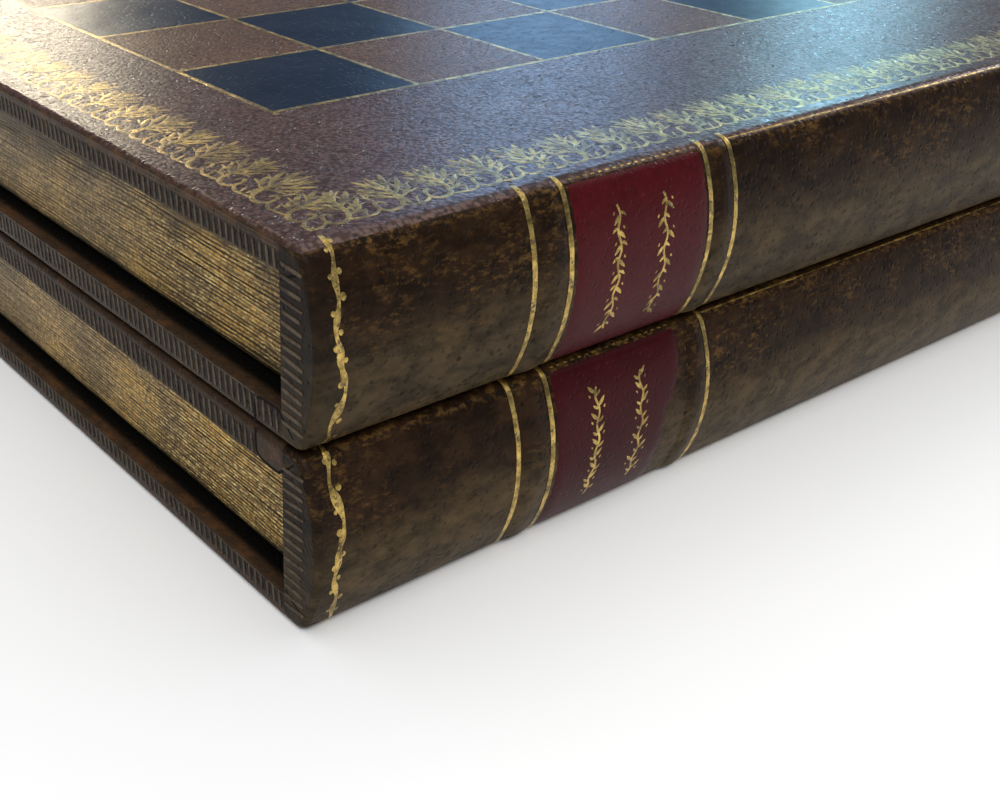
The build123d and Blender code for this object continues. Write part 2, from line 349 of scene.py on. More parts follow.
def leather_grain(finish, size, depth):
    """Pebbled grain with creases and pores: a normal, a mask of the pores and one of the creases."""
    warp = finish.cloud(0.35 / size, 3)
    shifted = finish.add(
        "ShaderNodeVectorMath",
        {"operation": "MULTIPLY_ADD"},
        {0: warp, 1: (size, size, size), 2: finish.place},
    )
    pebbles = finish.cells(1 / size, shifted)
    fine = finish.cloud(2.6 / size, 3, 0.6)
    pores = 1 - finish.rise(finish.cells(0.62 / size, shifted), 0.12, 0.34)
    height = pebbles * -0.7 + fine * 0.45 - pores * 1.8
    return finish.bump(height, depth), pores, finish.rise(pebbles, 0.28, 0.72)


def outer_face(finish, colour, creases, pores, shade_and_soot, dark=0.4):
    """Colour of the leather on the outer faces: mottled, specked, and with painted light and shade on its
    grain, lighter on the pebbles and darker in its creases and pores.
    """
    colour = finish.lit(finish.cloud(28, 6, 0.62), colour, 0.45, 1.55)
    colour = finish.lit(finish.cloud(620, 3, 0.7), colour, dark, 2 - dark)
    # Painted light and shade on the grain: lighter pebbles and darker creases, then darker pores.
    colour = finish.lit(creases, colour, 1.25, 0.55)
    return finish.mix(pores * 0.7, colour, shade_and_soot)


def upper_book(finish):
    """0 on the lower book, 1 on the upper one."""
    return finish.rise(finish.z, FOLD, FOLD + MM)


def between(finish, value, low, high, soft=0.3 * MM):
    """1 between two lengths, 0 outside them."""
    return finish.rise(value, low - soft, low + soft) * (1 - finish.rise(value, high - soft, high + soft))


def book_leather(colours):
    """Brown leather of the outer faces, dark on the edges, and black as painted shade on the inner ledges at
    the foot of the pages.
    """
    finish = start_finish("brown_leather")
    outward = finish.z.least(TOP - finish.z)
    inward = (HALF_LENGTH - abs(finish.x)).least(BACK - finish.y)
    normal, pores, creases = leather_grain(finish, 0.9 * MM, 0.08 * MM)
    on_field = (
        finish.rise(squares_high.x + 0.5 * MM - abs(finish.x), 0, 0.2 * MM)
        * finish.rise(finish.y - squares_low.y, 0, 0.2 * MM)
    )
    face = finish.mix(on_field, colours.cover, colours.field)
    face = outer_face(finish, face, creases, pores, colours.shade_and_soot)
    rubbed = finish.cloud(160, 5, 0.7)
    edge = finish.mix(finish.rise(rubbed, 0.5, 0.7) * 0.4, colours.edge, colours.edge_worn)
    edge = finish.lit(finish.cloud(420, 3), edge, 0.4, 1.6)
    arris = between(finish, outward, 0.5 * MM, 1.5 * MM, 0.4 * MM)
    edge = finish.mix(arris * finish.rise(rubbed, 0.4, 0.66), edge, colours.edge_worn)
    hatched = finish.rise(finish.y, RIM_SEAM - 0.3 * MM, RIM_SEAM).most(upper_book(finish))
    rim_row = between(finish, outward, 32.6 * MM, 36.8 * MM) * hatched
    rows = between(finish, outward, 2.4 * MM, 5.4 * MM) + rim_row
    edge = finish.mix(rows * 0.85, edge, colours.shade_and_soot)
    ledge = finish.mix(finish.rise(rubbed, 0.44, 0.68) * 0.7, colours.edge, colours.edge_worn)
    # Painted shade: the inner part of each ledge, under the pages, is black.
    ledge = finish.mix(finish.rise(inward + rubbed * MM, 2.3 * MM, 4.2 * MM), ledge, colours.shade_and_soot)
    within = between(finish, outward, 5.9 * MM, 32.15 * MM, 0.05 * MM)
    edge = finish.mix(within, edge, ledge)
    colour = finish.mix(finish.rise(outward, 0.15 * MM, 0.7 * MM), face, edge)
    on_top = 1 - finish.rise(outward, 0.3 * MM, 1.2 * MM)
    worn = finish.span(finish.cloud(60, 4), 0.55, 1.0)
    polish = on_top * worn * (1 - on_field * 0.85) * (1 - creases * 0.75)
    roughness = finish.span(finish.cloud(500, 4), 0.2, 0.4)
    return finish.close(colour, roughness, normal, gloss=0.06, polish=polish)


def spine_leather(colours):
    """Dark calf with amber flecks and pits, greyer low down as a painted reflection of the floor, with
    painted glints along the arrises and painted light and shade between the two books; its flat top matches
    the cover.
    """
    finish = start_finish("spine_leather")
    normal, pores, creases = leather_grain(finish, 1.2 * MM, 0.07 * MM)
    outward = finish.z.least(TOP - finish.z)
    drift = finish.cloud(34, 4, 0.6)
    # Painted reflection: each spine is greyer low down, where it faces the pale floor; the amber flecks keep
    # to the dark part above.
    high = finish.rise(finish.z % FOLD + drift * 12 * MM, 21 * MM, 33 * MM)
    colour = finish.mix(high, colours.spine_foot_reflection, colours.spine)
    blotch = finish.rise(finish.cloud(1, 5, 0.72, finish.stretched(120, 120, 210)), 0.34, 0.66)
    colour = finish.lit(blotch, colour, 0.5, 1.5)
    # Painted light and shade: the lower book's spine is lighter and the upper one's darker.
    colour = finish.lit(upper_book(finish), colour, 1.14, 0.94)
    flecks = finish.cloud(1, 4, 0.78, finish.stretched(420, 420, 900))
    clusters = finish.rise(finish.cloud(52, 4, 0.65), 0.42, 0.62)
    amber = finish.rise(flecks, 0.48, 0.66) * clusters * finish.span(high, 0.4, 0.9)
    colour = finish.mix(amber * 0.62, colour, colours.amber)
    middle = abs(outward - SPINE_MIDDLE)
    # Painted glints: amber specks along the arrises.
    arris = between(finish, middle, 17.6 * MM, 18.9 * MM, 0.6 * MM) * finish.rise(flecks, 0.48, 0.62)
    colour = finish.mix(arris * 0.5, colour, colours.amber)
    pits = (1 - finish.rise(finish.cells(230), 0.08, 0.18)) * finish.rise(drift, 0.42, 0.56)
    # Painted shade in the pores, and dark pits.
    colour = finish.mix((pores * 0.4).most(pits * 0.8), colour, colours.shade_and_soot)
    strip = finish.rise(abs(finish.x), HALF_LENGTH - 0.3 * MM, HALF_LENGTH)
    ends = finish.rise(abs(finish.x), HALF_LENGTH - 9 * MM, HALF_LENGTH - 2 * MM)
    colour = finish.mix((ends * 0.3).most(strip * 0.5), colour, colours.shade_and_soot)
    flat = finish.rise(finish.y + flecks * 0.5 * MM, ARRIS_LINE, ARRIS_LINE + 0.4 * MM)
    flat = flat * (1 - finish.rise(outward, 0.8 * MM, 1.1 * MM))
    top = outer_face(finish, colours.cover, creases, pores, colours.shade_and_soot, 0.5)
    colour = finish.mix(flat, colour, top)
    roughness = finish.span(finish.cloud(260, 4), 0.3, 0.5) - flat * 0.1
    return finish.close(colour, roughness, normal, gloss=0.06, polish=flat * (0.85 - creases * 0.6))


def smooth_leather(
    name, colour, size, depth, roughness, stain, shade=0.35, gloss=0.35, swell=0.0, below=1.0
):
    """A thin dyed leather: its dye is uneven by shade, its face by swell, and below darkens the lower book
    as painted shade.
    """
    finish = start_finish(name)
    normal, pores, creases = leather_grain(finish, size, depth)
    tone = finish.lit(finish.cloud(60, 6, 0.6), colour, 1 - shade, 1 + shade)
    tone = finish.lit(finish.cloud(500, 3, 0.7), tone, 1 - shade, 1 + shade)
    # Painted shade in the pores and creases.
    tone = finish.mix(pores * 0.15 + creases * 0.12, tone, stain)
    # Painted shade: below darkens the lower book's leather.
    if below != 1:
        tone = finish.lit(upper_book(finish), tone, below, 1.0)
    varied = finish.span(finish.cloud(220, 4), roughness - 0.08, roughness + 0.08)
    if swell:
        normal = finish.bump(finish.cloud(34, 2), swell, normal=normal)
    return finish.close(tone, varied, normal, gloss=gloss)


def gold_leaf(colours):
    """Gold leaf pressed into leather: pale, a little tarnished, with small breaks and glints."""
    finish = start_finish("gold_leaf")
    tarnish = finish.cloud(300, 5, 0.7)
    worn = finish.rise(finish.cloud(800, 3, 0.7), 0.54, 0.63)
    colour = finish.lit(finish.rise(tarnish, 0.34, 0.68), colours.gold, 0.3, 1.22)
    colour = finish.mix(worn * 0.85, colour, colours.edge)
    normal = finish.bump(finish.cloud(1300, 3, 0.6), 0.15 * MM)
    roughness = finish.span(finish.cloud(700, 3), 0.2, 0.46)
    return finish.close(colour, roughness, normal, metallic=0.96 - worn * 0.86, gloss=0.4)


def tooled_ridge(colours):
    """The rubbed tops of the hatched ridges."""
    finish = start_finish("tooled_ridge")
    rubbed = finish.cloud(330, 4, 0.7)
    colour = finish.mix(finish.rise(rubbed, 0.34, 0.6), colours.edge, colours.ridge)
    colour = finish.lit(finish.cloud(1800, 2), colour, 0.6, 1.4)
    normal = finish.bump(finish.cloud(1600, 2), 0.08 * MM)
    return finish.close(colour, finish.span(rubbed, 0.35, 0.6), normal, gloss=0.1)


def seam_line(colours):
    """The dark line where two pieces of leather meet."""
    finish = start_finish("seam_line")
    colour = finish.lit(finish.cloud(600, 3), colours.shade_and_soot, 0.4, 1.6)
    return finish.close(colour, 0.8, finish.bump(finish.cloud(900, 2), 0.05 * MM), gloss=0.1)


def page_edges(colours):
    """Gilt leaves seen on edge: bright near the spine with painted glints there and rubbed behind, dark
    grooves, a foot darkened as painted shade, and the upper book's pages darker as painted shade.
    """
    finish = start_finish("gilt_pages")
    groove = finish.add("ShaderNodeAttribute", {"attribute_name": "groove"}, output="Fac")
    leaves = finish.cloud(1, 3, 0.62, finish.stretched(26, 26, 2300))
    patches = finish.cloud(46, 5, 0.65)
    grains = finish.cloud(950, 3, 0.7)
    near = 1 - finish.rise(finish.y, -75 * MM, -15 * MM)
    # Painted glints: bright gold specks, most near the spine.
    glints = finish.rise(finish.cloud(1, 2, 0.6, finish.stretched(700, 700, 2600)), 0.54, 0.63)
    gilt = finish.rise(patches * 0.6 + grains * 0.3 + near * 0.16, 0.42, 0.7)
    colour = finish.mix(gilt, colours.pages_dull, colours.pages)
    colour = finish.lit(finish.rise(patches * 0.66 + grains * 0.34, 0.4, 0.6), colour, 0.74, 1.28)
    colour = finish.lit(finish.rise(leaves, 0.32, 0.68), colour, 0.5, 1.45)
    colour = finish.lit(finish.rise(grains, 0.3, 0.7), colour, 0.62, 1.38)
    colour = finish.mix(glints * finish.span(near, 0.2, 0.95), colour, colours.glints)
    # Painted shade: the upper book's pages are darker than the lower book's.
    colour = finish.lit(upper_book(finish), colour, 1.0, 0.8)
    high = finish.rise(finish.z, FOLD + 16 * MM, TOP - 9 * MM)
    stain = finish.rise(finish.cloud(26, 5, 0.6) + high * 0.16, 0.56, 0.66)
    colour = finish.mix(stain * high * 0.75, colour, colours.edge)
    dark = (groove * finish.span(near, 1.2, 1.8)).most((1 - finish.rise(leaves, 0.3, 0.4)) * 0.55)
    colour = finish.mix(dark.least(0.95), colour, colours.pages_dark)
    # Painted shade: a black foot at the bottom of each page block, above the ledge.
    level = (finish.z - LEDGE) % (TOP - RIM_LEDGE - LEDGE)
    foot = 1 - finish.rise(level + patches * 3 * MM, 2.6 * MM, 5.0 * MM)
    colour = finish.mix(foot * 0.95, colour, colours.shade_and_soot)
    normal = finish.bump(leaves * 0.9 + grains * 0.5, 0.3 * MM)
    metallic = (gilt * 0.5 + 0.25) * (1 - foot)
    return finish.close(colour, finish.span(patches, 0.24, 0.5), normal, metallic, gloss=0.12)


def metal(name, colour):
    """Metal with fine scratches along X and a little tarnish."""
    finish = start_finish(name)
    scratches = finish.cloud(1, 3, 0.6, finish.stretched(120, 5200, 5200))
    tarnish = finish.cloud(90, 5, 0.6)
    tone = finish.lit(tarnish, colour, 0.65, 1.25)
    normal = finish.bump(scratches, 0.01 * MM)
    return finish.close(tone, finish.span(scratches * 0.5 + tarnish * 0.5, 0.16, 0.42), normal, metallic=1.0)


def board_wood(colours):
    """Plain straight-grained hardwood."""
    finish = start_finish("board_wood")
    grain = finish.cloud(1, 5, 0.6, finish.stretched(14, 320, 320))
    pores = finish.cloud(1, 2, 0.5, finish.stretched(90, 2400, 2400))
    colour = finish.lit(grain, colours.wood, 0.55, 1.4)
    colour = finish.mix(finish.rise(pores, 0.6, 0.72) * 0.5, colour, colours.edge)
    normal = finish.bump(grain + pores * 0.5, 0.12 * MM)
    return finish.close(colour, finish.span(grain, 0.45, 0.65), normal)


finishes = {}


def make_finishes():
    """All materials, each made once."""
    colours = bpy.context.scene.chess_board_colours
    finishes["brown"] = book_leather(colours)
    finishes["spine"] = spine_leather(colours)
    leathers = (
        ("black", colours.squares, 1.1, 0.025, 0.32, colours.shade_and_soot, {"gloss": 0.09, "swell": 0.5 * MM}),
        # The lower book's label is darkened to 0.68 as painted shade.
        ("label", colours.label, 0.9, 0.03, 0.36, colours.shade_and_soot, {"shade": 0.4, "gloss": 0.1, "below": 0.68}),
        ("lining", colours.lining, 0.8, 0.05, 0.5, colours.shade_and_soot, {}),
        ("cream", colours.light_points, 0.9, 0.05, 0.45, colours.edge_worn, {"shade": 0.12}),
        ("red", colours.dark_points, 0.9, 0.05, 0.4, colours.shade_and_soot, {"shade": 0.2}),
    )
    for key, colour, size, depth, roughness, stain, more in leathers:
        name = f"{key}_leather"
        finishes[key] = smooth_leather(name, colour, size * MM, depth * MM, roughness, stain, **more)
    finishes["gold"] = gold_leaf(colours)
    finishes["ridge"] = tooled_ridge(colours)
    finishes["seam"] = seam_line(colours)
    finishes["pages"] = page_edges(colours)
    finishes["brass"] = metal("hinge_brass", colours.brass)
    finishes["steel"] = metal("hinge_steel", colours.steel)
    finishes["wood"] = board_wood(colours)


def finish_for(name):
    if not finishes:
        make_finishes()
    return finishes[name]


def give(finish, node):
    """Gives a fixed part its material."""
    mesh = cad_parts[node].data
    mesh.materials.clear()
    mesh.materials.append(finish_for(finish))


def dress(finish, *nodes):
    """Gives fixed parts of both books their material."""
    for node in nodes:
        for book in BOOKS:
            give(finish, f"{book}_{node}")


def fold_over(bm):
    """Turns a shape made for the lower book into its mirror image on the upper one."""
    bmesh.ops.scale(bm, vec=(1, 1, -1), verts=bm.verts)
    bmesh.ops.translate(bm, vec=(0, 0, TOP), verts=bm.verts)
    bmesh.ops.reverse_faces(bm, faces=bm.faces)


def settle(bm, book, name, finish):
    """Makes a piece of a book from a shape that was built for the lower one."""
    if book == "upper":
        fold_over(bm)
    mesh = bpy.data.meshes.new(f"{book}_{name}")
    bm.to_mesh(mesh)
    bm.free()
    mesh.materials.append(finish_for(finish))
    mesh.shade_smooth()
    mesh.set_sharp_from_angle(angle=math.radians(50))
    piece = bpy.data.objects.new(mesh.name, mesh)
    bpy.context.scene.collection.objects.link(piece)
    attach(piece, f"{book}_book")
    return piece


def chance(*seed):
    """A steady value from -1 to 1 for a place."""
    return noise.noise(Vector([7.13 * value + 0.37 for value in (*seed, 0, 0, 0)[:3]]))


def evenly(start, end, count):
    """Evenly spaced values from start to end, both included."""
    return [start + (end - start) * step / count for step in range(count + 1)]


def uneven(half, x, y):
    """Half the width of a hand-tooled line at a place."""
    return half * (1 + 0.3 * chance(x, y))


def drawn(lines, height=0.12, detail=3):
    """A shape of tapering gold strokes; each line is a list of x, y and half width in millimetres."""
    curve = bpy.data.curves.new("strokes", "CURVE")
    curve.dimensions = "3D"
    curve.bevel_depth = 1
    curve.bevel_resolution = 0
    curve.resolution_u = detail
    for line in lines:
        spline = curve.splines.new("NURBS")
        spline.points.add(len(line) - 1)
        for point, (x, y, half) in zip(spline.points, line):
            point.co = (x * MM, y * MM, 0, 1)
            point.radius = half * MM
        spline.order_u = 3
        spline.use_endpoint_u = True
    holder = bpy.data.objects.new("strokes", curve)
    mesh = bpy.data.meshes.new_from_object(holder)
    bm = bmesh.new()
    bm.from_mesh(mesh)
    bpy.data.objects.remove(holder)
    bpy.data.curves.remove(curve)
    bpy.data.meshes.remove(mesh)
    bm.normal_update()
    under = [face for face in bm.faces if face.calc_center_median().z < -1e-9]
    bmesh.ops.delete(bm, geom=under, context="FACES")
    bmesh.ops.scale(bm, vec=(1, 1, height), verts=bm.verts)
    return bm


def gather(bm, other, matrix=Matrix.Identity(4)):
    """Adds a copy of one shape, moved by the matrix, to another."""
    mesh = bpy.data.meshes.new("copy")
    other.to_mesh(mesh)
    mesh.transform(matrix)
    bm.from_mesh(mesh)
    bpy.data.meshes.remove(mesh)


def to_outer_face(bm, lift):
    """Lays a flat drawing on the lower book's outer face, seen from below."""
    bmesh.ops.scale(bm, vec=(1, 1, -1), verts=bm.verts)
    bmesh.ops.translate(bm, vec=(0, 0, lift), verts=bm.verts)
    bmesh.ops.reverse_faces(bm, faces=bm.faces)


def spine_place(reach):
    """Place and outward direction on the spine's section, by the way from its middle height."""
    side = math.copysign(1, reach)
    reach = abs(reach)
    if reach <= ARC_REACH:
        angle = reach / ARC_RADIUS
        y, z = ARC_CENTRE - ARC_RADIUS * math.cos(angle), ARC_RADIUS * math.sin(angle)
    elif reach <= CORNER_REACH:
        angle = CORNER_ANGLE + (reach - ARC_REACH) / CORNER_RADIUS
        y = CORNER_CENTRE - CORNER_RADIUS * math.cos(angle)
        z = SPINE_MIDDLE - CORNER_RADIUS + CORNER_RADIUS * math.sin(angle)
    else:
        angle = math.pi / 2
        y, z = CORNER_CENTRE + reach - CORNER_REACH, SPINE_MIDDLE
    return y, SPINE_MIDDLE + side * z, Vector((0, -math.cos(angle), side * math.sin(angle)))


def wrap_on_spine(bm, lift=0.0):
    """Bends a flat drawing, X along the spine and Y up its back, onto the spine."""
    for vert in bm.verts:
        y, z, outward = spine_place(vert.co.y)
        vert.co = Vector((vert.co.x, y, z)) + outward * (vert.co.z + lift)


def lobe(start, knee, tip, half):
    """Strokes of one lobe of a leaf: it swells at the knee, and has a small finger on each side."""
    start, knee, tip = Vector(start), Vector(knee), Vector(tip)
    lines = [[(*start, half * 0.6), (*knee, half), (*knee.lerp(tip, 0.75), half * 0.95), (*tip, 0.2)]]
    for side in (-1, 1):
        ahead = (tip - knee) @ Matrix.Rotation(math.radians(42 * side), 2)
        root, middle, end = knee.lerp(start, 0.3), knee + ahead * 0.35, knee + ahead * 0.62
        lines.append([(*root, half * 0.4), (*middle, half * 0.62), (*end, 0.16)])
    return lines


def roll_figure():
    """One repeat of the border roll: a tall plume and a round leaf, each on its own scroll."""
    lines = [
        [(-0.4, 1.0, 0.36), (-0.2, 5.0, 0.62), (0.1, 10.0, 0.7), (0.3, 14.0, 0.5), (0.4, 16.4, 0.08)],
        [
            (4.7, 3.4, 0.3), (4.0, 1.6, 0.46), (5.6, -0.2, 0.52), (8.4, 0.6, 0.54),
            (10.1, 3.6, 0.5), (10.8, 8.0, 0.6), (11.1, 12.4, 0.6), (11.2, 16.2, 0.1),
        ],
        [(4.5, 2.6, 0.36), (5.0, 4.9, 0.46), (6.9, 4.9, 0.44), (6.6, 3.4, 0.3)],
        [
            (15.8, 3.4, 0.3), (15.1, 1.6, 0.46), (16.7, -0.2, 0.52),
            (19.5, 0.5, 0.54), (21.3, 2.6, 0.5), (21.9, 6.0, 0.6),
        ],
        [(15.6, 2.6, 0.36), (16.1, 4.8, 0.46), (18.0, 4.8, 0.44), (17.7, 3.4, 0.3)],
        [(8.4, 0.8, 0.3), (11.6, 0.0, 0.42), (14.0, 0.2, 0.4), (15.5, 1.8, 0.3)],
        [(19.6, 0.7, 0.3), (22.7, 0.0, 0.42), (25.0, 0.2, 0.4), (26.6, 1.8, 0.3)],
        [(11.8, 0.3, 0.12), (12.5, 2.0, 0.5), (13.7, 3.4, 0.08)],
        [(22.9, 0.3, 0.12), (23.6, 2.0, 0.5), (24.8, 3.4, 0.08)],
    ]
    lobes = [
        ((-0.1, 8.6), (-1.7, 12.2), (-2.7, 15.9), 0.56),
        ((0.2, 8.6), (2.2, 12.0), (3.6, 16.1), 0.56),
        ((-0.3, 6.4), (-2.9, 9.3), (-5.2, 13.3), 0.56),
        ((0.1, 6.4), (3.0, 9.0), (5.5, 13.5), 0.56),
        ((-0.3, 4.5), (-2.7, 6.1), (-5.2, 9.6), 0.54),
        ((0.0, 4.5), (2.7, 5.9), (5.2, 9.8), 0.54),
        ((10.5, 9.0), (9.2, 11.8), (8.3, 15.6), 0.62),
        ((11.0, 9.0), (12.7, 11.9), (13.9, 15.5), 0.62),
        ((10.4, 6.8), (8.4, 8.8), (6.5, 12.5), 0.6),
        ((10.9, 6.8), (13.3, 8.6), (15.8, 12.3), 0.6),
        ((10.2, 4.8), (8.7, 6.0), (6.9, 8.9), 0.48),
        ((10.6, 4.8), (12.9, 5.4), (15.6, 8.6), 0.54),
        ((9.8, 2.8), (11.6, 2.9), (13.8, 5.2), 0.44),
        ((17.0, 5.0), (16.4, 7.2), (16.9, 9.4), 0.3),
    ]
    for blade in lobes:
        lines += lobe(*blade)
    return lines


def border_roll(front_margin, end_margin, repeat):
    """The roll round three sides of a cover, mitred at the corners, as a flat drawing."""
    figure = drawn(roll_figure(), detail=2)
    front = spine_low.y + SPINE_BULGE + front_margin
    left = LEFT_END + end_margin
    mirrored = Matrix(((0, 1, 0, left), (1, 0, 0, front), (0, 0, 1, 0), (0, 0, 0, 1)))
    turned = Matrix.Translation((-left, front, 0)) @ Matrix.Rotation(math.pi / 2, 4, "Z")
    runs = [
        (-2 * left, Matrix.Translation((left, front, 0)), True),
        (BACK - front - BACK_GAP, mirrored, False),
        (BACK - front - BACK_GAP, turned, False),
    ]
    roll = bmesh.new()
    for length, matrix, both_mitred in runs:
        run = bmesh.new()
        count = round(length / repeat)
        stretch = length / (count * ROLL_FIGURE * MM)
        for step in range(-1, count + 1):
            place = Matrix.Translation((step * length / count, 0, 0))
            gather(run, figure, place @ Matrix.Diagonal((stretch, 1, 1, 1)))
        for at, lean in ((0, (-1, 1, 0)), (length, (1, 1 if both_mitred else 0, 0))):
            geom = run.verts[:] + run.edges[:] + run.faces[:]
            bmesh.ops.bisect_plane(run, geom=geom, plane_co=(at, 0, 0), plane_no=lean, clear_outer=True)
        if matrix is mirrored:
            bmesh.ops.reverse_faces(run, faces=run.faces)
        gather(roll, run, matrix)
        run.free()
    figure.free()
    return roll


class TOOLING_OT_chess_board_cover(bpy.types.Operator):
    """Covers the books in brown leather and the dark squares in black"""

    bl_idname = "chess_board.cover"
    bl_label = "Leather Covers"

    def execute(self, context):
        dress("brown", "cover_leather", "cover_board", "rim_leather", "rim_leather_front")
        dress("brown", "spine_rail", "left_rail", "right_rail", "hinge_rail")
        dress("spine", "spine_leather")
        dress("black", "dark_squares")
        dress("wood", "spine_board", "left_wall", "right_wall", "hinge_wall", "spine_wall")
        return {"FINISHED"}


class TOOLING_OT_chess_board_lines(bpy.types.Operator):
    """Draws the gold lines between the squares"""

    bl_idname = "chess_board.lines"
    bl_label = "Gold Lines"

    def execute(self, context):
        tooling = context.scene.chess_board_tooling
        half = tooling.line_width / 2 / MM
        overlap, overshoot, sway = 0.5, 2.3, 0.12
        left, right = squares_low.x / MM - overlap, squares_high.x / MM + overlap
        front, back = squares_low.y / MM - overlap, (BACK - BACK_GAP) / MM
        square = (right - left) / 8
        for book in BOOKS:
            lines = []
            for column in range(9):
                x = left + square * column
                start = front - overshoot * (column == 0)
                steps = evenly(start, back, 32)
                lines.append([(x + sway * chance(x, y * 0.05), y, uneven(half, x, y)) for y in steps])
            for row in range(4):
                y = front + square * row
                steps = evenly(left, right, 32)
                lines.append([(x, y + sway * chance(x * 0.05, y), uneven(half, x, y)) for x in steps])
            bm = drawn(lines, 0.1, 1)
            to_outer_face(bm, 0)
            settle(bm, book, "gold_lines", "gold")
        return {"FINISHED"}


class TOOLING_OT_chess_board_roll(bpy.types.Operator):
    """Tools the gilt roll round the covers"""

    bl_idname = "chess_board.roll"
    bl_label = "Border Roll"

    def execute(self, context):
        tooling = context.scene.chess_board_tooling
        for book in BOOKS:
            bm = border_roll(tooling.front_margin, tooling.end_margin, tooling.roll_repeat)
            to_outer_face(bm, 0)
            settle(bm, book, "border_roll", "gold")
        return {"FINISHED"}


def add_patch(bm, span, reach, relief, softness, fade, torn=False):
    """Leather laid across the spine, its edges sunk into it; all sizes are in millimetres."""
    patch = bmesh.new()
    bmesh.ops.create_grid(patch, x_segments=36, y_segments=52, size=0.5)
    for vert in patch.verts:
        across, up = vert.co.x + 0.5, vert.co.y + 0.5
        s = reach * (2 * up - 1)
        right = span[1]
        if torn:
            retreat = min(1, max(0, (13 - s) / 14))
            right += 0.5 * chance(s * 0.2, 9) + 0.9 * chance(s * 0.06, 4)
            right -= 4.4 * retreat**2 * (3 - 2 * retreat)
        width = right - span[0]
        rim = min(across, 1 - across) * width
        crown = min(1, rim / (softness * width / 2 + 0.2)) ** 0.6 * min(1, (reach - abs(s)) / fade)
        vert.co = Vector((LEFT_END / MM + span[0] + width * across, s, relief * crown - 0.03)) * MM
    wrap_on_spine(patch)
    gather(bm, patch)
    patch.free()


class TOOLING_OT_chess_board_spine(bpy.types.Operator):
    """Fits the raised bands and the labels to the spines"""

    bl_idname = "chess_board.spine"
    bl_label = "Bands and Labels"

    def execute(self, context):
        for book in BOOKS:
            label = bmesh.new()
            add_patch(label, LABEL, 19.4, 0.26, 0.12, 0.9, torn=book == "lower")
            piece = settle(label, book, "label", "label")
            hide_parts(f"{book}_spine_label")
            bands = bmesh.new()
            for low, high in BANDS:
                for span in ((low, high), (BOOK_LENGTH - high, BOOK_LENGTH - low)):
                    add_patch(bands, span, 21.6, 0.56, 0.7, 3)
            piece = settle(bands, book, "bands", "spine")
            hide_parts(f"{book}_spine_bands")
        return {"FINISHED"}


